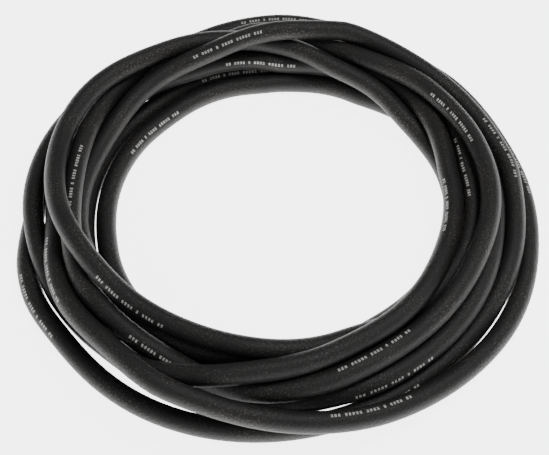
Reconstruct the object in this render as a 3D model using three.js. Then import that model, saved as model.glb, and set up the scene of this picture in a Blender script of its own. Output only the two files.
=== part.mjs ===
import * as THREE from "three";

// A coil of black rubber fuel hose, wound by hand and lying on the floor.
// One piece: a hollow hose swept along its whole route, turn after turn, with its bore open at both cut ends.
// Millimetres, +Z up, the coil's axis upright through the origin, the floor at z = 0.

// Sizes of the hose
const hoseOd = 15;
const hoseBore = 9;
const clearance = 0.7;

// Radius of the clear eye of the coil, to the edge of the innermost turn
const eyeRadius = 110;

// Sides of the hose's outer and inner skins, and rings along one turn
const outerSides = 10;
const boreSides = 6;
const ringsPerTurn = 36;

// The lay was listed for a hose this thick round an eye this wide. Other sizes keep the same lay, scaled.
const listedOd = 15;
const listedEye = 110;

// The route: for each turn, its distance from the axis every 30 degrees, starting at the right and going
// anticlockwise. Distances are listed as they look from above the front, 53 degrees over the floor and 0.9 m
// away, on a level one hose width up. A minus sign marks a place that lies under other turns, which is free
// to move sideways. The hose starts in the first turn at 60 degrees and ends soon after the last full turn.
const turns = [
  [null, null, 143, 138, 138.5, 137.5, 140.5, -144, -150, -154, -153, -149],
  [-146, -134, 128, 125, 122, 122, 125.5, 132, -138, -149, -160, -161],
  [-160, -165, -164, -163, -165, -170, 177, 185, 191.5, 187, 176, 173],
  [172, 177.5, 181, 181, 164.5, 152, 147.5, 147, 142, 133, -137, -137],
  [130, 134, 145, 165, 179, 183, 167, 144, 129, 127, 133, 137],
  [146, 154, -162, -168, 173, 166, 152.5, 155, 157, 154.5, 147.5, 149],
  [159, 164, 166, -158, -151, -153, -157, -162, 162, 142, 131, 128],
  [131, 142, 153, 153, -150, -153, -160, 168, 165.5, 179.5, 187.6, 187.2],
  [182.5, 176, 179, 186, 173, 182, 181.5, 172, -163, 166.5, 163, 161],
  [-156, -154],
];

// The order in which the turns lie on each other every 30 degrees, lowest first, by their row above
const stackOrder = [
  [1, 4, 9, 8, 2, 7, 3, 6, 5],
  [1, 0, 2, 8, 9, 5, 4, 3, 7, 6],
  [1, 0, 2, 8, 5, 7, 6, 3, 4],
  [1, 0, 2, 8, 5, 6, 7, 4, 3],
  [1, 0, 6, 2, 8, 7, 4, 5, 3],
  [1, 0, 6, 2, 8, 7, 4, 3, 5],
  [1, 0, 6, 2, 7, 3, 8, 5, 4],
  [1, 0, 6, 8, 2, 3, 7, 5, 4],
  [1, 0, 2, 8, 5, 3, 6, 7, 4],
  [1, 2, 8, 3, 0, 5, 7, 4, 6],
  [1, 2, 0, 7, 3, 4, 8, 5, 6],
  [1, 2, 0, 7, 3, 4, 8, 5, 6],
];

// Stations of the lists, and the finer points at which the turns are laid down
const stations = 12;
const pointsPerTurn = 72;
const perStation = pointsPerTurn / stations;
const firstStation = 2;
const lastPointsLeftOff = 4;

// Lean of the sight line, outward travel for each unit of height: at the sides, and what the back adds
const sideLean = 0.23;
const backLean = 0.79;
const sightLevel = hoseOd;

// Steps of the settling, how far the hose sinks in each, and the share of them after which it comes to rest
const settleSteps = 600;
const sinkStep = 0.12;
const calmSinkStep = 0.02;
const calmFrom = 0.85;
const gentleFrom = 0.75;

const pitch = hoseOd + clearance;
const scale = hoseOd / listedOd;

// Distance from the axis that a listed distance stands for
function placed(listed) {
  return eyeRadius + (Math.abs(listed) - listedEye) * scale;
}

// Smooth values between the stations
function spread(values) {
  const out = [];
  for (let i = 0; i < values.length - 1; i++) {
    const a = values[Math.max(i - 1, 0)];
    const b = values[i];
    const c = values[i + 1];
    const d = values[Math.min(i + 2, values.length - 1)];
    for (let k = 0; k < perStation; k++) {
      const t = k / perStation;
      const linear = 2 * b + (c - a) * t;
      const square = (2 * a - 5 * b + 4 * c - d) * t * t;
      const cube = (3 * b - a - 3 * c + d) * t * t * t;
      out.push(0.5 * (linear + square + cube));
    }
  }
  out.push(values[values.length - 1]);
  return out;
}

// The lists as one run of points along the hose
function listPoints() {
  const distances = [];
  const covered = [];
  const all = turns.flat();
  for (let s = firstStation; s < all.length; s++) {
    distances.push(placed(all[s]));
    covered.push(all[s] < 0 ? 1 : 0);
  }
  const sight = spread(distances).slice(0, -lastPointsLeftOff);
  const free = spread(covered).slice(0, -lastPointsLeftOff).map((v) => v > 0.5);
  return sight.map((v, i) => {
    const index = i + perStation * firstStation;
    const azimuth = index % pointsPerTurn;
    const angle = (azimuth / pointsPerTurn) * 2 * Math.PI;
    return {
      turn: Math.floor(index / pointsPerTurn),
      azimuth,
      angle,
      sight: v,
      free: free[i],
      lean: sideLean + Math.sin(angle) * backLean,
      r: v,
      z: hoseOd / 2,
    };
  });
}

// Rank of each turn at an azimuth, between the two nearest stations
function ranksAt(azimuth) {
  const station = Math.floor(azimuth / perStation);
  const part = azimuth / perStation - station;
  const ranks = new Map();
  stackOrder[station].forEach((turn, k) => ranks.set(turn, (1 - part) * k));
  const last = station === stations - 1;
  stackOrder[(station + 1) % stations].forEach((turn, k) => {
    const row = last ? turn - 1 : turn;
    ranks.set(row, (ranks.get(row) || 0) + part * k);
  });
  return [...ranks].sort((a, b) => a[1] - b[1]).map(([turn]) => turn);
}

// Lays the turns down one on another at each azimuth
function layDown(points) {
  const where = new Map(points.map((p) => [p.turn * pointsPerTurn + p.azimuth, p]));
  for (let azimuth = 0; azimuth < pointsPerTurn; azimuth++) {
    const below = [];
    for (const turn of ranksAt(azimuth)) {
      const p = where.get(turn * pointsPerTurn + azimuth);
      if (!p) continue;
      const reach = (p.free ? 14 : 3) * scale;
      const cost = p.free ? 0.45 : 2;
      let best = null;
      for (let k = 0; k <= 2 * reach; k++) {
        const offset = k - reach;
        const base = p.sight + offset;
        let z = hoseOd / 2;
        for (const q of below) {
          const c = base + sightLevel * p.lean - q.r;
          const qa = 1 + p.lean * p.lean;
          const qb = -2 * (p.lean * c + q.z);
          const qc = c * c + q.z * q.z - pitch * pitch;
          const root = qb * qb - 4 * qa * qc;
          if (root > 0) z = Math.max(z, (-qb + Math.sqrt(root)) / (2 * qa));
        }
        const value = z + cost * Math.abs(offset);
        if (!best || value < best.value) best = { value, z, base };
      }
      p.z = best.z;
      p.r = best.base - p.lean * (best.z - sightLevel);
      if (p.free) p.sight = best.base;
      below.push(p);
    }
  }
}

// Every two turns that pass the same azimuth
function neighbours(points) {
  const pairs = [];
  points.forEach((p, i) => {
    for (let j = i + pointsPerTurn; j < points.length; j += pointsPerTurn) pairs.push([i, j]);
  });
  return pairs;
}

// One step of the hose's own stiffness on a list of values
function straighten(v, stiffness, pull) {
  const n = v.length;
  const bent = v.slice();
  for (let i = 2; i < n - 2; i++) {
    const fourth = -v[i - 2] + 4 * v[i - 1] - 6 * v[i] + 4 * v[i + 1] - v[i + 2];
    bent[i] = v[i] + (fourth / 16) * stiffness;
  }
  const out = bent.slice();
  for (let i = 1; i < n - 1; i++) out[i] += ((bent[i - 1] + bent[i + 1]) / 2 - bent[i]) * pull;
  out[0] += (bent[1] - bent[0]) * pull;
  out[n - 1] += (bent[n - 2] - bent[n - 1]) * pull;
  return out;
}

// Slope of a list of values along the hose
function slopes(v, r) {
  const n = v.length;
  const step = (2 * Math.PI) / pointsPerTurn;
  return v.map((_, i) => {
    const rise =
      i === 0 ? v[1] - v[0] : i === n - 1 ? v[n - 1] - v[n - 2] : (v[i + 1] - v[i - 1]) / 2;
    return rise / (step * r[i]);
  });
}

// Pushes apart turns that lie closer than the hose is thick
function pushApart(r, z, pairs) {
  const slopeR = slopes(r, r);
  const slopeZ = slopes(z, r);
  const moveR = new Array(r.length).fill(0);
  const moveZ = new Array(r.length).fill(0);
  for (const [a, b] of pairs) {
    const cosR = 1 / Math.hypot(1, (slopeR[a] + slopeR[b]) / 2);
    const cosZ = 1 / Math.hypot(1, (slopeZ[a] + slopeZ[b]) / 2);
    const dr = (r[a] - r[b]) * cosR;
    const dz = (z[a] - z[b]) * cosZ;
    const distance = Math.hypot(dr, dz) + 1e-9;
    if (distance >= pitch) continue;
    const push = ((pitch - distance) / 2) * 0.9;
    moveR[a] += (push * dr) / distance;
    moveR[b] -= (push * dr) / distance;
    moveZ[a] += (push * dz) / distance;
    moveZ[b] -= (push * dz) / distance;
  }
  for (let i = 0; i < r.length; i++) {
    r[i] += moveR[i];
    z[i] = Math.max(z[i] + moveZ[i], hoseOd / 2);
  }
}

// Lets the hose settle: it sinks, stays as straight as it can and never runs through itself
function settle(points) {
  let r = points.map((p) => p.r);
  let z = points.map((p) => p.z);
  const pairs = neighbours(points);
  for (let step = 0; step < settleSteps; step++) {
    const gentle = step > settleSteps * gentleFrom ? 0.5 : 1;
    const calm = step > settleSteps * calmFrom;
    r = straighten(r, 0.5, 0.1 * gentle);
    z = straighten(z, 0.9, 0.35 * gentle);
    points.forEach((p, i) => {
      z[i] -= (calm ? calmSinkStep : sinkStep) * scale;
      const error = p.sight - p.lean * (z[i] - sightLevel) - r[i];
      const hold = ((p.free ? 0.05 : 0.15) * (calm ? 0.25 : 1)) / (1 + p.lean * p.lean);
      r[i] += error * hold;
      z[i] += error * hold * p.lean * 0.5;
    });
    for (let k = 0; k < (calm ? 16 : 6); k++) pushApart(r, z, pairs);
  }
  return points.map((p, i) => new THREE.Vector3(r[i] * Math.cos(p.angle), r[i] * Math.sin(p.angle), z[i]));
}

// Centre line of the hose, moved so that the coil stands centred on the origin
function centreLine() {
  const points = listPoints();
  layDown(points);
  const line = settle(points);
  const box = new THREE.Box3().setFromPoints(line);
  const middle = box.getCenter(new THREE.Vector3());
  return line.map((p) => p.sub(new THREE.Vector3(middle.x, middle.y, 0)));
}

// Rings of the hose: every point that a ring falls on, and both ends
function ringPoints(line) {
  const every = pointsPerTurn / ringsPerTurn;
  const kept = line.filter((_, i) => i % every === 0);
  if ((line.length - 1) % every !== 0) kept.push(line[line.length - 1]);
  return kept;
}

// The hose as one closed surface: outer skin, bore and the two ring-shaped ends
function hoseGeometry(line) {
  const rings = ringPoints(line);
  const last = rings.length - 1;
  const around = outerSides + boreSides;
  const vertices = [];
  rings.forEach((centre, i) => {
    const ahead = rings[Math.min(i + 1, last)];
    const behind = rings[Math.max(i - 1, 0)];
    const along = ahead.clone().sub(behind).normalize();
    const side = new THREE.Vector3().crossVectors(along, new THREE.Vector3(0, 0, 1)).normalize();
    const up = new THREE.Vector3().crossVectors(side, along);
    const ring = (sides, radius) => {
      for (let k = 0; k < sides; k++) {
        const turn = (2 * Math.PI * k) / sides;
        const p = centre
          .clone()
          .addScaledVector(side, Math.sin(turn) * radius)
          .addScaledVector(up, Math.cos(turn) * radius);
        vertices.push(p.x, p.y, p.z);
      }
    };
    ring(outerSides, hoseOd / 2);
    ring(boreSides, hoseBore / 2);
  });
  const faces = [];
  const at = (ring, kind, k) =>
    ring * around + (kind === "outer" ? k % outerSides : outerSides + (k % boreSides));
  for (let i = 0; i < last; i++) {
    for (let k = 0; k < outerSides; k++) {
      faces.push(at(i, "outer", k), at(i, "outer", k + 1), at(i + 1, "outer", k + 1));
      faces.push(at(i, "outer", k), at(i + 1, "outer", k + 1), at(i + 1, "outer", k));
    }
    for (let k = 0; k < boreSides; k++) {
      faces.push(at(i, "bore", k), at(i + 1, "bore", k + 1), at(i, "bore", k + 1));
      faces.push(at(i, "bore", k), at(i + 1, "bore", k), at(i + 1, "bore", k + 1));
    }
  }
  // Ring-shaped ends: walk round both edges together, always joining the one that lags
  const end = (ring, outward) => {
    let o = 0;
    let b = 0;
    while (o < outerSides || b < boreSides) {
      const outerNext = b >= boreSides || (o < outerSides && (o + 1) / outerSides <= (b + 1) / boreSides);
      const face = outerNext
        ? [at(ring, "outer", o), at(ring, "bore", b), at(ring, "outer", o + 1)]
        : [at(ring, "outer", o), at(ring, "bore", b), at(ring, "bore", b + 1)];
      if (outward) face.reverse();
      faces.push(...face);
      if (outerNext) o += 1;
      else b += 1;
    }
  };
  end(0, false);
  end(last, true);
  const geometry = new THREE.BufferGeometry();
  geometry.setAttribute("position", new THREE.Float32BufferAttribute(vertices, 3));
  geometry.setIndex(faces);
  geometry.computeVertexNormals();
  return geometry;
}

const rubber = new THREE.MeshStandardMaterial({ color: 0x2b2a2a, roughness: 0.85 });
const hose = new THREE.Mesh(hoseGeometry(centreLine()), rubber);
hose.name = "hose";

const group = new THREE.Group();
group.add(hose);

export default group;
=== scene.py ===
import math

import bmesh
import bpy
import numpy as np
from mathutils import Euler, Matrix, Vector


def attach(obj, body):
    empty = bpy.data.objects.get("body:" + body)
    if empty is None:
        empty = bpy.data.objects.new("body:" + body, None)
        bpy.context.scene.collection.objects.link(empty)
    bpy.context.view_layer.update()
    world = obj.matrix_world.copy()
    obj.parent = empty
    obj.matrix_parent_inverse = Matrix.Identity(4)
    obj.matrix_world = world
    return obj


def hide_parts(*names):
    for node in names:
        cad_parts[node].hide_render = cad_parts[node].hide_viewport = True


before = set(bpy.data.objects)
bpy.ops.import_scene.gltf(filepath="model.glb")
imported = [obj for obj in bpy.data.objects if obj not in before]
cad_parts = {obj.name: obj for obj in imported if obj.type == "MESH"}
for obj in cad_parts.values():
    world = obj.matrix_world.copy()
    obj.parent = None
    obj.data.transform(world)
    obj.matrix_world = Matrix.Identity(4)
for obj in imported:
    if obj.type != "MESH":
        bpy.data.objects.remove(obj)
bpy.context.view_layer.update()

bl_info = {
    "name": "Fuel Hose Coil",
    "version": (1, 0, 0),
    "blender": (4, 5, 0),
    "location": "3D View > Sidebar > Hose",
    "description": "Builds a hand-wound coil of black rubber fuel hose",
    "category": "Object",
}

MM = 0.001

# The lay of the coil, the same lists as in the solid's source. Millimetres in the lists.
LISTED_OD = 15.0
LISTED_EYE = 110.0
CLEARANCE = 0.7
STATIONS = 12
POINTS_PER_TURN = 72
PER_STATION = POINTS_PER_TURN // STATIONS
FIRST_STATION = 2
LAST_POINTS_LEFT_OFF = 4

# Distance of each turn from the axis every 30 degrees from the right, anticlockwise, as seen from above the
# front, 53 degrees over the floor and 0.9 m away. A minus sign marks a place that lies under other turns.
TURNS = [
    [None, None, 143, 138, 138.5, 137.5, 140.5, -144, -150, -154, -153, -149],
    [-146, -134, 128, 125, 122, 122, 125.5, 132, -138, -149, -160, -161],
    [-160, -165, -164, -163, -165, -170, 177, 185, 191.5, 187, 176, 173],
    [172, 177.5, 181, 181, 164.5, 152, 147.5, 147, 142, 133, -137, -137],
    [130, 134, 145, 165, 179, 183, 167, 144, 129, 127, 133, 137],
    [146, 154, -162, -168, 173, 166, 152.5, 155, 157, 154.5, 147.5, 149],
    [159, 164, 166, -158, -151, -153, -157, -162, 162, 142, 131, 128],
    [131, 142, 153, 153, -150, -153, -160, 168, 165.5, 179.5, 187.6, 187.2],
    [182.5, 176, 179, 186, 173, 182, 181.5, 172, -163, 166.5, 163, 161],
    [-156, -154],
]

# The order in which the turns lie on each other every 30 degrees, lowest first, by their row above
STACK_ORDER = [
    [1, 4, 9, 8, 2, 7, 3, 6, 5],
    [1, 0, 2, 8, 9, 5, 4, 3, 7, 6],
    [1, 0, 2, 8, 5, 7, 6, 3, 4],
    [1, 0, 2, 8, 5, 6, 7, 4, 3],
    [1, 0, 6, 2, 8, 7, 4, 5, 3],
    [1, 0, 6, 2, 8, 7, 4, 3, 5],
    [1, 0, 6, 2, 7, 3, 8, 5, 4],
    [1, 0, 6, 8, 2, 3, 7, 5, 4],
    [1, 0, 2, 8, 5, 3, 6, 7, 4],
    [1, 2, 8, 3, 0, 5, 7, 4, 6],
    [1, 2, 0, 7, 3, 4, 8, 5, 6],
    [1, 2, 0, 7, 3, 4, 8, 5, 6],
]

# Settling of the hose under its own weight, as in the solid's source
SETTLE_STEPS = 600
SINK_STEP = 0.12
CALM_SINK_STEP = 0.02
CALM_FROM = 0.85
GENTLE_FROM = 0.75

# Lean of the sight line, outward travel for each unit of height: at the sides, and what the back adds
SIDE_LEAN = 0.23
BACK_LEAN = 0.79

# How far a point may slide sideways to lie lower, in millimetres of the listed hose, and what sliding costs
# in millimetres of height: where the turn shows, and where it lies hidden
SHOWN_REACH = 3
HIDDEN_REACH = 14
SHOWN_COST = 2
HIDDEN_COST = 0.45

# Share of the way back to its listed place that a shown and a hidden point goes in a step, and the part of
# it that is left in the calm end
SHOWN_HOLD = 0.15
HIDDEN_HOLD = 0.05
CALM_HOLD = 0.25
HEIGHT_HOLD = 0.5

# Stiffness and pull of the hose sideways and in height, and the part of the pull left when it is gentle
SIDE_STIFFNESS = 0.5
SIDE_PULL = 0.1
HEIGHT_STIFFNESS = 0.9
HEIGHT_PULL = 0.35
GENTLE_PULL = 0.5

# Rounds in which touching turns are pushed apart in each step, and the share of an overlap one round clears
PUSH_ROUNDS = 6
CALM_PUSH_ROUNDS = 16
PUSH_SHARE = 0.9

# Rings of the finished hose for each point of the lay, and sides of its skins
RINGS_BETWEEN = 2
SKIN_SIDES = 44

# Where each row of ticks starts: row of TURNS, degrees, distance off the hose's middle line in millimetres
# as seen from the front
TICK_ROWS = [
    (8, 82, 5.5),
    (3, 95, 2.0),
    (7, 84, -2.4),
    (0, 93, 0.0),
    (1, 130, -1.2),
    (5, 168, 0.5),
    (6, 14, -2.0),
    (3, 5, 4.4),
    (8, 3, 5.5),
    (4, 358, -2.0),
    (6, 339, -4.5),
    (7, 196, 5.0),
    (2, 199, 4.5),
    (5, 232, 2.0),
    (4, 216, 4.5),
    (3, 236, -3.0),
    (8, 287, 5.5),
    (2, 283, 2.5),
    (7, 280, -4.5),
    (5, 284, -5.0),
]

# Ticks in each group of a row, with one tick's place left bare between groups
TICK_GROUPS = [3, 5, 4, 1, 4, 2]

# Hose left without ticks before its end, and the most that a tick leans to the side, as a sine
BARE_END = 10 * MM
STEEPEST = 0.98

# Camera: metres from the spot on the floor that it looks at, degrees over the floor, that spot in
# millimetres from the axis of the turns, focal length and picture width in pixels, sensor in millimetres
CAMERA_AWAY = 0.9
CAMERA_DEGREES = 53
CAMERA_SPOT = (-2.3, -11.1)
FOCAL_PIXELS = 1212
PICTURE_PIXELS = 549
SENSOR_WIDTH = 36

# Half the side of the floor in metres, the strength of its glow, and the strength of the light of the room
FLOOR_REACH = 6
FLOOR_GLOW = 4.5
ROOM_LIGHT = 0.38

# Soft boxes: name, place and side in metres, watts
LAMPS = [
    ("key_light", (0.45, 0.1, 1.3), 0.45, 9.0),
    ("fill_light", (-0.9, -0.7, 1.2), 0.9, 2.0),
]


def hex_to_linear(value):
    """An sRGB hex colour as linear red, green, blue and alpha."""
    channels = [int(value[i : i + 2], 16) / 255 for i in (1, 3, 5)]
    linear = [c / 12.92 if c <= 0.04045 else ((c + 0.055) / 1.055) ** 2.4 for c in channels]
    return (*linear, 1.0)


class HoseSizes(bpy.types.PropertyGroup):
    outer_diameter: bpy.props.FloatProperty(
        name="Outer diameter",
        description="Outside diameter of the hose",
        default=15 * MM,
        min=4 * MM,
        unit="LENGTH",
    )
    bore: bpy.props.FloatProperty(
        name="Bore", description="Inside diameter of the hose", default=9 * MM, min=1 * MM, unit="LENGTH"
    )
    eye_radius: bpy.props.FloatProperty(
        name="Eye radius",
        description="Radius of the clear eye of the coil",
        default=LISTED_EYE * MM,
        min=60 * MM,
        unit="LENGTH",
    )
    tick_length: bpy.props.FloatProperty(
        name="Tick length",
        description="Length of one white tick along the hose",
        default=1.5 * MM,
        min=0.2 * MM,
        unit="LENGTH",
    )
    tick_width: bpy.props.FloatProperty(
        name="Tick width",
        description="Width of one white tick across the hose",
        default=2.2 * MM,
        min=0.2 * MM,
        unit="LENGTH",
    )
    tick_pitch: bpy.props.FloatProperty(
        name="Tick pitch",
        description="Distance between the middles of two ticks",
        default=2.4 * MM,
        min=0.3 * MM,
        unit="LENGTH",
    )


class HoseColours(bpy.types.PropertyGroup):
    cover: bpy.props.StringProperty(
        name="Cover", description="Hex colour of the rubber cover", default="#151414"
    )
    cover_bloom: bpy.props.StringProperty(
        name="Cover bloom",
        description="Hex colour of the cover where it has bloomed grey",
        default="#33312f",
    )
    # Colour of the pale specks: talc, and painted glints of the weave print
    talc_and_glint: bpy.props.StringProperty(
        name="Talc and painted glint", description="Hex colour of the talc specks left in the weave print", default="#5a5753"
    )
    liner: bpy.props.StringProperty(
        name="Inner tube", description="Hex colour of the inner tube", default="#1d1d1e"
    )
    braid: bpy.props.StringProperty(
        name="Braid", description="Hex colour of the textile braid at the cut ends", default="#b9b1a0"
    )
    ink: bpy.props.StringProperty(
        name="Ink", description="Hex colour of the white ticks", default="#b9b9b6"
    )


def spread(values, steps):
    """The values with a smooth curve through them, so many steps from one to the next."""
    out = []
    last = len(values) - 1
    for i in range(last):
        a, b, c, d = values[max(i - 1, 0)], values[i], values[i + 1], values[min(i + 2, last)]
        for k in range(steps):
            t = k / steps
            square = (2 * a - 5 * b + 4 * c - d) * t * t
            cube = (3 * b - a - 3 * c + d) * t * t * t
            out.append(0.5 * (2 * b + (c - a) * t + square + cube))
    out.append(values[last])
    return out


def ranks_at(azimuth):
    """The turns that pass an azimuth, lowest first."""
    station, rest = divmod(azimuth, PER_STATION)
    part = rest / PER_STATION
    ranks = {turn: (1 - part) * k for k, turn in enumerate(STACK_ORDER[station])}
    last = station == STATIONS - 1
    for k, turn in enumerate(STACK_ORDER[(station + 1) % STATIONS]):
        row = turn - 1 if last else turn
        ranks[row] = ranks.get(row, 0) + part * k
    return sorted(ranks, key=lambda row: ranks[row])


def straighten(v, stiffness, pull):
    """One step of the hose's own stiffness on a list of values."""
    bent = v.copy()
    bent[2:-2] += (-v[:-4] + 4 * v[1:-3] - 6 * v[2:-2] + 4 * v[3:-1] - v[4:]) / 16 * stiffness
    out = bent.copy()
    out[1:-1] += ((bent[:-2] + bent[2:]) / 2 - bent[1:-1]) * pull
    out[0] += (bent[1] - bent[0]) * pull
    out[-1] += (bent[-2] - bent[-1]) * pull
    return out


class Lay:
    """The hose's route: the listed turns laid on each other and left to settle. Millimetres."""

    def __init__(self, od, eye):
        self.od = od
        self.scale = od / LISTED_OD
        self.pitch = od + CLEARANCE
        listed = [v for row in TURNS for v in row][FIRST_STATION:]
        distances = spread([eye + (abs(v) - LISTED_EYE) * self.scale for v in listed], PER_STATION)
        covered = spread([1 if v < 0 else 0 for v in listed], PER_STATION)
        self.sight = np.array(distances[:-LAST_POINTS_LEFT_OFF])
        self.free = np.array(covered[:-LAST_POINTS_LEFT_OFF]) > 0.5
        index = np.arange(len(self.sight)) + PER_STATION * FIRST_STATION
        self.turn = index // POINTS_PER_TURN
        self.azimuth = index % POINTS_PER_TURN
        self.angle = self.azimuth / POINTS_PER_TURN * 2 * math.pi
        self.lean = SIDE_LEAN + np.sin(self.angle) * BACK_LEAN
        self.r = self.sight.copy()
        self.z = np.full(len(self.sight), od / 2)
        self.lay_down()
        self.settle()

    def lay_down(self):
        """Lays the turns down one on another at each azimuth."""
        where = {(t, a): i for i, (t, a) in enumerate(zip(self.turn, self.azimuth))}
        for azimuth in range(POINTS_PER_TURN):
            below = []
            for turn in ranks_at(azimuth):
                i = where.get((turn, azimuth))
                if i is None:
                    continue
                self.drop(i, below)
                below.append(i)

    def drop(self, i, below):
        """Lowers one point onto those already there, moved sideways where that lets it lie lower."""
        reach = (HIDDEN_REACH if self.free[i] else SHOWN_REACH) * self.scale
        cost = HIDDEN_COST if self.free[i] else SHOWN_COST
        lean = self.lean[i]
        best = None
        k = 0
        while k <= 2 * reach:
            offset = k - reach
            base = self.sight[i] + offset
            z = self.od / 2
            for q in below:
                # The point just touches the one below where this quadratic in its height has its higher root
                apart = base + self.od * lean - self.r[q]
                squared = 1 + lean * lean
                linear = -2 * (lean * apart + self.z[q])
                constant = apart * apart + self.z[q] ** 2 - self.pitch**2
                under_root = linear * linear - 4 * squared * constant
                if under_root > 0:
                    z = max(z, (-linear + math.sqrt(under_root)) / (2 * squared))
            value = z + cost * abs(offset)
            if best is None or value < best[0]:
                best = (value, z, base)
            k += 1
        self.z[i] = best[1]
        self.r[i] = best[2] - lean * (best[1] - self.od)
        if self.free[i]:
            self.sight[i] = best[2]

    def push_apart(self, a, b):
        """Pushes apart turns that lie closer than the hose is thick."""
        step = 2 * math.pi / POINTS_PER_TURN * self.r
        slope_r = np.gradient(self.r) / step
        slope_z = np.gradient(self.z) / step
        dr = (self.r[a] - self.r[b]) / np.hypot(1, (slope_r[a] + slope_r[b]) / 2)
        dz = (self.z[a] - self.z[b]) / np.hypot(1, (slope_z[a] + slope_z[b]) / 2)
        distance = np.hypot(dr, dz) + 1e-9
        push = np.where(distance < self.pitch, (self.pitch - distance) / 2 * PUSH_SHARE, 0) / distance
        move_r = np.zeros_like(self.r)
        move_z = np.zeros_like(self.z)
        np.add.at(move_r, a, push * dr)
        np.add.at(move_r, b, -push * dr)
        np.add.at(move_z, a, push * dz)
        np.add.at(move_z, b, -push * dz)
        self.r += move_r
        self.z = np.maximum(self.z + move_z, self.od / 2)

    def settle(self):
        """Lets the hose sink, stay as straight as it can and never run through itself."""
        count = len(self.r)
        pairs = [(i, j) for i in range(count) for j in range(i + POINTS_PER_TURN, count, POINTS_PER_TURN)]
        a, b = np.array(pairs).T
        hold = np.where(self.free, HIDDEN_HOLD, SHOWN_HOLD) / (1 + self.lean**2)
        for step in range(SETTLE_STEPS):
            gentle = GENTLE_PULL if step > SETTLE_STEPS * GENTLE_FROM else 1
            calm = step > SETTLE_STEPS * CALM_FROM
            self.r = straighten(self.r, SIDE_STIFFNESS, SIDE_PULL * gentle)
            self.z = straighten(self.z, HEIGHT_STIFFNESS, HEIGHT_PULL * gentle)
            self.z -= (CALM_SINK_STEP if calm else SINK_STEP) * self.scale
            error = self.sight - self.lean * (self.z - self.od) - self.r
            held = error * hold * (CALM_HOLD if calm else 1)
            self.r += held
            self.z += held * self.lean * HEIGHT_HOLD
            for _ in range(CALM_PUSH_ROUNDS if calm else PUSH_ROUNDS):
                self.push_apart(a, b)

    def line(self):
        """The centre line in the row frame, and the middle that it was moved by. Metres."""
        points = np.stack([self.r * np.cos(self.angle), self.r * np.sin(self.angle), self.z], axis=1)
        middle = (points.min(axis=0) + points.max(axis=0)) / 2
        middle[2] = 0
        return (points - middle) * MM, middle * MM


_lays = {}


def lay_of(sizes):
    """The settled line for these sizes, worked out once."""
    # Whole micrometres, so that a size held as a short float gives the same lay as in the solid's source
    key = (round(sizes.outer_diameter / MM, 3), round(sizes.eye_radius / MM, 3))
    if key not in _lays:
        _lays[key] = Lay(*key).line()
    return _lays[key]


def hose_path(sizes):
    """The hose's centre line, the ways along, right of and above it, and the length run at each point."""
    line, _ = lay_of(sizes)
    path = np.array(spread(line, RINGS_BETWEEN))
    along = np.gradient(path, axis=0)
    along /= np.linalg.norm(along, axis=1)[:, None]
    side = np.cross(along, [0.0, 0.0, 1.0])
    side /= np.linalg.norm(side, axis=1)[:, None]
    length = np.concatenate([[0], np.cumsum(np.linalg.norm(np.diff(path, axis=0), axis=1))])
    return path, along, side, np.cross(side, along), length


def node(tree, kind, settings=None, **links):
    """Adds a node with its settings, and sets or links its inputs by name or by place."""
    made = tree.nodes.new(kind)
    for key, value in (settings or {}).items():
        setattr(made, key, value)
    for key, value in links.items():
        name = key.replace("_", " ")
        socket = made.inputs[int(key[1:])] if key[1:].isdigit() else made.inputs[name]
        if isinstance(value, bpy.types.NodeSocket):
            tree.links.new(value, socket)
        else:
            socket.default_value = value
    return made


def new_material(name):
    """An empty node material with its Principled shader."""
    material = bpy.data.materials.new(name)
    material.use_nodes = True
    tree = material.node_tree
    tree.nodes.clear()
    shader = node(tree, "ShaderNodeBsdfPrincipled")
    output = node(tree, "ShaderNodeOutputMaterial")
    tree.links.new(shader.outputs[0], output.inputs[0])
    return material, tree, shader


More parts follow.
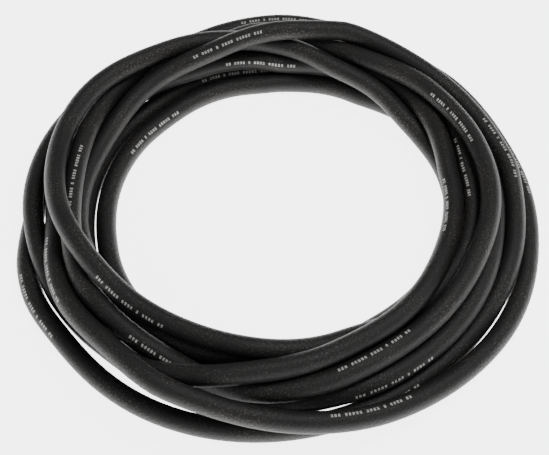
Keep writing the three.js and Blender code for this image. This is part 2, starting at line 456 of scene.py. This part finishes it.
def cover_material(colours):
    """Cloth-cured nitrile rubber cover: the wrap leaves a fine weave print that catches the light."""
    material, tree, shader = new_material("Nitrile rubber cover, cloth-cured")
    uv = node(tree, "ShaderNodeUVMap", {"uv_map": "Along"}).outputs[0]
    # Faint ridges of the wrapping cloth about 3.4 mm apart, slanting round the hose. A diagonal wave of
    # scale 1 repeats every 0.4443 units across its bands.
    ridges = node(
        tree,
        "ShaderNodeTexWave",
        {"bands_direction": "DIAGONAL"},
        Vector=uv,
        Scale=0.4443 / (3.36 * MM),
        Distortion=1.6,
    )
    # Fine speckle of the weave print, in cells of 1.3 mm, coarser than the real thread so that it shows
    speckle = node(tree, "ShaderNodeTexNoise", Vector=uv, Scale=1 / (1.3 * MM), Detail=3.0, Roughness=0.7)
    # Slow change of tone where the cover has been handled, in cells of 50 mm
    handled = node(tree, "ShaderNodeTexNoise", Vector=uv, Scale=1 / (50 * MM), Detail=2.0, Roughness=0.5)
    height = node(
        tree,
        "ShaderNodeMix",
        {"data_type": "FLOAT"},
        i0=0.12,
        i2=speckle.outputs[0],
        i3=ridges.outputs[1],
    )
    bump = node(tree, "ShaderNodeBump", Strength=0.8, Distance=0.4 * MM, Height=height.outputs[0])
    tone = node(
        tree,
        "ShaderNodeMapRange",
        i0=speckle.outputs[0],
        i1=0.35,
        i2=0.72,
        i3=0.0,
        i4=0.75,
    )
    slow = node(
        tree, "ShaderNodeMath", {"operation": "MULTIPLY"}, i0=tone.outputs[0], i1=handled.outputs[0]
    )
    colour = node(
        tree,
        "ShaderNodeMix",
        {"data_type": "RGBA"},
        i0=slow.outputs[0],
        i6=hex_to_linear(colours.cover),
        i7=hex_to_linear(colours.cover_bloom),
    )
    # Specks of talc left from the cure, and with them painted glints where the weave print catches the
    # light, in cells of 1.5 mm, thicker in some stretches than in others
    specks = node(tree, "ShaderNodeTexNoise", Vector=uv, Scale=1 / (1.5 * MM), Detail=1.0, Roughness=0.5)
    shown = node(tree, "ShaderNodeMapRange", i0=specks.outputs[0], i1=0.55, i2=0.72, i3=0.0, i4=0.7)
    thick = node(tree, "ShaderNodeMapRange", i0=handled.outputs[0], i1=0.42, i2=0.65, i3=0.15, i4=1.0)
    talc_and_glint_mask = node(
        tree, "ShaderNodeMath", {"operation": "MULTIPLY"}, i0=shown.outputs[0], i1=thick.outputs[0]
    )
    # Mixes in the pale specks: talc, and painted glints of the weave print
    whole = node(
        tree,
        "ShaderNodeMix",
        {"data_type": "RGBA"},
        i0=talc_and_glint_mask.outputs[0],
        i6=colour.outputs[2],
        i7=hex_to_linear(colours.talc_and_glint),
    )
    rough = node(tree, "ShaderNodeMapRange", i0=speckle.outputs[0], i1=0.3, i2=0.7, i3=0.68, i4=0.42)
    tree.links.new(whole.outputs[2], shader.inputs["Base Color"])
    tree.links.new(rough.outputs[0], shader.inputs["Roughness"])
    tree.links.new(bump.outputs[0], shader.inputs["Normal"])
    shader.inputs["Specular IOR Level"].default_value = 0.27
    shader.inputs["IOR"].default_value = 1.52
    return material


def liner_material(colours):
    """Extruded nitrile rubber inner tube: smooth and a little shinier than the cover."""
    material, tree, shader = new_material("Nitrile rubber inner tube, extruded")
    place = node(tree, "ShaderNodeTexCoord").outputs["Object"]
    # Faint unevenness of the extruded skin, in cells of 0.8 mm
    grain = node(tree, "ShaderNodeTexNoise", Vector=place, Scale=1 / (0.8 * MM), Detail=2.0)
    bump = node(tree, "ShaderNodeBump", Strength=0.2, Distance=0.1 * MM, Height=grain.outputs[0])
    rough = node(tree, "ShaderNodeMapRange", i0=grain.outputs[0], i1=0.3, i2=0.7, i3=0.38, i4=0.52)
    shader.inputs["Base Color"].default_value = hex_to_linear(colours.liner)
    tree.links.new(rough.outputs[0], shader.inputs["Roughness"])
    tree.links.new(bump.outputs[0], shader.inputs["Normal"])
    return material


def braid_material(colours):
    """Cut polyester braid: a ring of pale yarn ends between the two rubbers, frayed by the knife."""
    material, tree, shader = new_material("Polyester braid, cut")
    place = node(tree, "ShaderNodeTexCoord").outputs["Object"]
    # Yarn ends about 0.7 mm across
    yarn = node(tree, "ShaderNodeTexVoronoi", Vector=place, Scale=1 / (0.7 * MM))
    tone = node(tree, "ShaderNodeMapRange", i0=yarn.outputs[0], i1=0.0, i2=0.8, i3=1.0, i4=0.25)
    between_yarns = hex_to_linear("#3a3733")
    colour = node(
        tree,
        "ShaderNodeMix",
        {"data_type": "RGBA"},
        i0=tone.outputs[0],
        i6=between_yarns,
        i7=hex_to_linear(colours.braid),
    )
    bump = node(tree, "ShaderNodeBump", Strength=0.6, Distance=0.2 * MM, Height=tone.outputs[0])
    tree.links.new(colour.outputs[2], shader.inputs["Base Color"])
    tree.links.new(bump.outputs[0], shader.inputs["Normal"])
    shader.inputs["Roughness"].default_value = 0.9
    return material


def ink_material(colours):
    """White marking ink, ink-jetted: thin and matte, broken up where the weave print lets it miss."""
    material, tree, shader = new_material("White marking ink, ink-jetted")
    place = node(tree, "ShaderNodeTexCoord").outputs["Object"]
    # Drops of ink that run together, in cells of 0.9 mm, coarser than real ones so that they show
    drops = node(tree, "ShaderNodeTexNoise", Vector=place, Scale=1 / (0.9 * MM), Detail=2.0)
    cover = node(tree, "ShaderNodeMapRange", i0=drops.outputs[0], i1=0.36, i2=0.56, i3=0.25, i4=1.0)
    colour = node(
        tree,
        "ShaderNodeMix",
        {"data_type": "RGBA"},
        i0=cover.outputs[0],
        i6=hex_to_linear(colours.cover_bloom),
        i7=hex_to_linear(colours.ink),
    )
    tree.links.new(colour.outputs[2], shader.inputs["Base Color"])
    shader.inputs["Roughness"].default_value = 0.75
    return material


def floor_material():
    """Opal white acrylic of a light table, lit evenly from below."""
    material, tree, shader = new_material("Opal acrylic sheet, lit from below")
    shader.inputs["Base Color"].default_value = hex_to_linear("#f4f4f2")
    shader.inputs["Roughness"].default_value = 0.9
    shader.inputs["Emission Color"].default_value = (1, 1, 1, 1)
    shader.inputs["Emission Strength"].default_value = FLOOR_GLOW
    return material


def mesh_object(name, vertices, faces, materials, face_materials=None):
    """A mesh object at the origin with its faces and their materials."""
    mesh = bpy.data.meshes.new(name)
    mesh.from_pydata([tuple(v) for v in vertices], [], faces)
    for material in materials:
        mesh.materials.append(material)
    if face_materials is not None:
        mesh.polygons.foreach_set("material_index", face_materials)
    mesh.validate()
    made = bpy.data.objects.new(name, mesh)
    bpy.context.scene.collection.objects.link(made)
    return made


def hose_profile(sizes):
    """Radius, step back from the cut and material of each ring of a cut end, from the skin in."""
    outer = sizes.outer_diameter / 2
    bore = sizes.bore / 2
    wall = outer - bore
    # The cover with its edge a little rounded, the braid a little sunk, the inner tube with its edge rounded
    return [
        (outer, 0.6 * MM, 0),
        (outer - 0.12 * MM, 0.18 * MM, 0),
        (outer - 0.45 * MM, 0.0, 0),
        (bore + 0.58 * wall, 0.0, 0),
        (bore + 0.55 * wall, 0.15 * MM, 1),
        (bore + 0.42 * wall, 0.15 * MM, 1),
        (bore + 0.39 * wall, 0.0, 2),
        (bore + 0.30 * MM, 0.0, 2),
        (bore + 0.06 * MM, 0.12 * MM, 2),
        (bore, 0.45 * MM, 2),
    ]


def build_hose(sizes, materials):
    """The hose: cover, layered cut ends and bore as one closed skin, with its map of length and turn."""
    path, along, side, up, length = hose_path(sizes)
    count = len(path)
    turn = np.arange(SKIN_SIDES) / SKIN_SIDES * 2 * math.pi
    spokes = np.sin(turn)[None, :, None] * side[:, None] + np.cos(turn)[None, :, None] * up[:, None]
    profile = hose_profile(sizes)
    inner = sizes.bore / 2
    outer = sizes.outer_diameter / 2
    rings = []
    # Rings in order round the wall: the start end from the bore outwards, the cover, the finish end
    # inwards, and back along the bore
    for radius, back, kind in reversed(profile):
        rings.append((path[0] + along[0] * back + spokes[0] * radius, length[0] + back, kind))
    for i in range(1, count - 1):
        rings.append((path[i] + spokes[i] * outer, length[i], 0))
    for radius, back, kind in profile:
        rings.append((path[-1] - along[-1] * back + spokes[-1] * radius, length[-1] - back, kind))
    for i in range(count - 3, 1, -2):
        rings.append((path[i] + spokes[i] * inner, length[i], 2))
    vertices = np.concatenate([ring for ring, _, _ in rings])
    faces = []
    kinds = []
    uvs = []
    total = len(rings)
    around = outer * 2 * math.pi
    for i in range(total):
        j = (i + 1) % total
        # The braid keeps its pale ring between the two rubbers
        kind = 1 if {rings[i][2], rings[j][2]} == {1, 2} else max(rings[i][2], rings[j][2])
        for k in range(SKIN_SIDES):
            n = (k + 1) % SKIN_SIDES
            here, there = i * SKIN_SIDES, j * SKIN_SIDES
            faces.append((here + k, here + n, there + n, there + k))
            kinds.append(kind)
            left, right = k / SKIN_SIDES * around, (k + 1) / SKIN_SIDES * around
            uvs.extend([rings[i][1], left, rings[i][1], right, rings[j][1], right, rings[j][1], left])
    hose = mesh_object("hose_coil", vertices, faces, materials, kinds)
    layer = hose.data.uv_layers.new(name="Along")
    layer.data.foreach_set("uv", uvs)
    hose.data.polygons.foreach_set("use_smooth", [True] * len(faces))
    solid = bmesh.new()
    solid.from_mesh(hose.data)
    if solid.calc_volume(signed=True) < 0:
        hose.data.flip_normals()
    solid.free()
    return hose, path, float(length[-1])


def tick_places(sizes):
    """Point on the skin, way along and way out of every tick of every row."""
    outer = sizes.outer_diameter / 2
    path, along, side, up, length = hose_path(sizes)
    slots = []
    place = 0
    for group in TICK_GROUPS:
        slots.extend(range(place, place + group))
        place += group + 1
    places = []
    for row, degrees, off in TICK_ROWS:
        first = (row * 360 + degrees) / 360 * POINTS_PER_TURN - PER_STATION * FIRST_STATION
        start = np.interp(first * RINGS_BETWEEN, np.arange(len(path)), length)
        for slot in slots:
            s = start + (slot + 0.5) * sizes.tick_pitch
            if s > length[-1] - BARE_END:
                continue
            centre, out_way, up_way, forward = (
                np.array([np.interp(s, length, values[:, k]) for k in range(3)])
                for values in (path, side, up, along)
            )
            lean = SIDE_LEAN + BACK_LEAN * math.sin(math.atan2(centre[1], centre[0]))
            reach = math.hypot(1, lean)
            tilt = max(-STEEPEST, min(STEEPEST, off * MM / (outer * reach)))
            roll = math.asin(tilt) - math.atan(lean)
            way_out = out_way * math.sin(roll) + up_way * math.cos(roll)
            way_out /= np.linalg.norm(way_out)
            places.append((centre + way_out * outer, forward / np.linalg.norm(forward), way_out))
    return places


def tick_tree():
    """Geometry nodes that lay one curved tick on each point, turned along the hose and out of its skin."""
    tree = bpy.data.node_groups.new("Hose ticks", "GeometryNodeTree")
    face = tree.interface
    face.new_socket("Geometry", in_out="INPUT", socket_type="NodeSocketGeometry")
    for name in ("Tick length", "Tick width", "Hose radius", "Ink thickness"):
        face.new_socket(name, in_out="INPUT", socket_type="NodeSocketFloat")
    face.new_socket("Ink", in_out="INPUT", socket_type="NodeSocketMaterial")
    face.new_socket("Geometry", in_out="OUTPUT", socket_type="NodeSocketGeometry")
    given = node(tree, "NodeGroupInput")
    tick = node(
        tree,
        "GeometryNodeMeshGrid",
        i0=given.outputs["Tick length"],
        i1=given.outputs["Tick width"],
        i2=2,
        i3=5,
    )
    # Bends the flat tick round the hose: the height falls with the square of the distance off its middle
    where = node(tree, "GeometryNodeInputPosition")
    split = node(tree, "ShaderNodeSeparateXYZ", i0=where.outputs[0])
    squared = node(
        tree, "ShaderNodeMath", {"operation": "MULTIPLY"}, i0=split.outputs[1], i1=split.outputs[1]
    )
    twice = node(
        tree, "ShaderNodeMath", {"operation": "MULTIPLY"}, i0=given.outputs["Hose radius"], i1=-2.0
    )
    fall = node(tree, "ShaderNodeMath", {"operation": "DIVIDE"}, i0=squared.outputs[0], i1=twice.outputs[0])
    lift = node(
        tree, "ShaderNodeMath", {"operation": "ADD"}, i0=fall.outputs[0], i1=given.outputs["Ink thickness"]
    )
    shift = node(tree, "ShaderNodeCombineXYZ", i2=lift.outputs[0])
    bent = node(tree, "GeometryNodeSetPosition", Geometry=tick.outputs[0], Offset=shift.outputs[0])
    out_way = node(tree, "GeometryNodeInputNamedAttribute", {"data_type": "FLOAT_VECTOR"}, i0="way_out")
    ahead = node(tree, "GeometryNodeInputNamedAttribute", {"data_type": "FLOAT_VECTOR"}, i0="way_along")
    upright = node(tree, "FunctionNodeAlignRotationToVector", {"axis": "Z"}, Vector=out_way.outputs[0])
    turned = node(
        tree,
        "FunctionNodeAlignRotationToVector",
        {"axis": "X", "pivot_axis": "Z"},
        Rotation=upright.outputs[0],
        Vector=ahead.outputs[0],
    )
    laid = node(
        tree,
        "GeometryNodeInstanceOnPoints",
        Points=given.outputs["Geometry"],
        Instance=bent.outputs[0],
        Rotation=turned.outputs[0],
    )
    real = node(tree, "GeometryNodeRealizeInstances", i0=laid.outputs[0])
    inked = node(tree, "GeometryNodeSetMaterial", Geometry=real.outputs[0], Material=given.outputs["Ink"])
    node(tree, "NodeGroupOutput", i0=inked.outputs[0])
    return tree


def set_input(modifier, name, value):
    """Sets a geometry nodes modifier's input by its socket's identifier."""
    for item in modifier.node_group.interface.items_tree:
        if item.item_type == "SOCKET" and item.in_out == "INPUT" and item.name == name:
            modifier[item.identifier] = value
            return
    raise KeyError(name)


def build_ticks(sizes, ink):
    """All the ticks as one plain mesh."""
    places = tick_places(sizes)
    points = mesh_object("tick_points", [p for p, _, _ in places], [], [])
    for name, column in (("way_along", 1), ("way_out", 2)):
        attribute = points.data.attributes.new(name, "FLOAT_VECTOR", "POINT")
        attribute.data.foreach_set("vector", np.array([p[column] for p in places]).ravel())
    modifier = points.modifiers.new("Ticks", "NODES")
    modifier.node_group = tick_tree()
    set_input(modifier, "Tick length", sizes.tick_length)
    set_input(modifier, "Tick width", sizes.tick_width)
    set_input(modifier, "Hose radius", sizes.outer_diameter / 2)
    set_input(modifier, "Ink thickness", 0.05 * MM)
    set_input(modifier, "Ink", ink)
    points.data.update()
    depsgraph = bpy.context.evaluated_depsgraph_get()
    mesh = bpy.data.meshes.new_from_object(points.evaluated_get(depsgraph))
    mesh.name = "ink_ticks"
    points.modifiers.remove(modifier)
    bpy.data.objects.remove(points)
    ticks = bpy.data.objects.new("ink_ticks", mesh)
    bpy.context.scene.collection.objects.link(ticks)
    return ticks


class HOSE_OT_hose(bpy.types.Operator):
    """Builds the coiled hose with its layered cut ends."""

    bl_idname = "hose.build_hose"
    bl_label = "Hose"

    def execute(self, context):
        sizes = context.scene.hose_sizes
        colours = context.scene.hose_colours
        materials = [cover_material(colours), braid_material(colours), liner_material(colours)]
        hose, path, length = build_hose(sizes, materials)
        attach(hose, "root")
        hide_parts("hose")
        return {"FINISHED"}


class HOSE_OT_ticks(bpy.types.Operator):
    """Lays the rows of plain white ticks on the hose."""

    bl_idname = "hose.build_ticks"
    bl_label = "White ticks"

    def execute(self, context):
        ticks = build_ticks(context.scene.hose_sizes, ink_material(context.scene.hose_colours))
        if len(ticks.data.polygons) == 0:
            raise RuntimeError("the ticks came out empty")
        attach(ticks, "root")
        return {"FINISHED"}


class HOSE_OT_stage(bpy.types.Operator):
    """Sets the pale floor, the soft light and the camera."""

    bl_idname = "hose.build_stage"
    bl_label = "Stage"

    def execute(self, context):
        _, middle = lay_of(context.scene.hose_sizes)
        corners = [(x * FLOOR_REACH, y * FLOOR_REACH, 0) for x, y in ((-1, -1), (1, -1), (1, 1), (-1, 1))]
        floor = mesh_object("floor", corners, [(0, 1, 2, 3)], [floor_material()])
        world = bpy.data.worlds.new("White room")
        world.use_nodes = True
        background = world.node_tree.nodes["Background"]
        background.inputs["Color"].default_value = (1, 1, 1, 1)
        background.inputs["Strength"].default_value = ROOM_LIGHT
        context.scene.world = world
        for name, place, size, watts in LAMPS:
            light = bpy.data.lights.new(name, "AREA")
            light.shape = "SQUARE"
            light.size = size
            light.energy = watts
            lamp = bpy.data.objects.new(name, light)
            lamp.location = place
            lamp.rotation_euler = (-Vector(place)).to_track_quat("-Z", "Y").to_euler()
            context.scene.collection.objects.link(lamp)
        target = Vector((CAMERA_SPOT[0] * MM - middle[0], CAMERA_SPOT[1] * MM - middle[1], 0))
        height = math.radians(CAMERA_DEGREES)
        camera_data = bpy.data.cameras.new("camera")
        camera_data.sensor_width = SENSOR_WIDTH
        camera_data.lens = FOCAL_PIXELS / PICTURE_PIXELS * SENSOR_WIDTH
        camera = bpy.data.objects.new("camera", camera_data)
        camera.location = target + CAMERA_AWAY * Vector((0, -math.cos(height), math.sin(height)))
        camera.rotation_euler = Euler((math.pi / 2 - height, 0, 0))
        context.scene.collection.objects.link(camera)
        context.scene.camera = camera
        return {"FINISHED"}


class HOSE_PT_panel(bpy.types.Panel):
    """Lists the hose's parts."""

    bl_label = "Fuel hose coil"
    bl_idname = "HOSE_PT_panel"
    bl_space_type = "VIEW_3D"
    bl_region_type = "UI"
    bl_category = "Hose"

    def draw(self, context):
        for group in (context.scene.hose_sizes, context.scene.hose_colours):
            for name in group.__annotations__:
                self.layout.prop(group, name)
        for operator in (HOSE_OT_stage, HOSE_OT_hose, HOSE_OT_ticks):
            self.layout.operator(operator.bl_idname)


CLASSES = (HoseSizes, HoseColours, HOSE_OT_stage, HOSE_OT_hose, HOSE_OT_ticks, HOSE_PT_panel)


def register():
    for cls in CLASSES:
        bpy.utils.register_class(cls)
    bpy.types.Scene.hose_sizes = bpy.props.PointerProperty(type=HoseSizes)
    bpy.types.Scene.hose_colours = bpy.props.PointerProperty(type=HoseColours)


def unregister():
    del bpy.types.Scene.hose_colours
    del bpy.types.Scene.hose_sizes
    for cls in reversed(CLASSES):
        bpy.utils.unregister_class(cls)


def main():
    register()
    bpy.ops.hose.build_stage()
    bpy.ops.hose.build_hose()
    bpy.ops.hose.build_ticks()


if __name__ == "__main__":
    main()
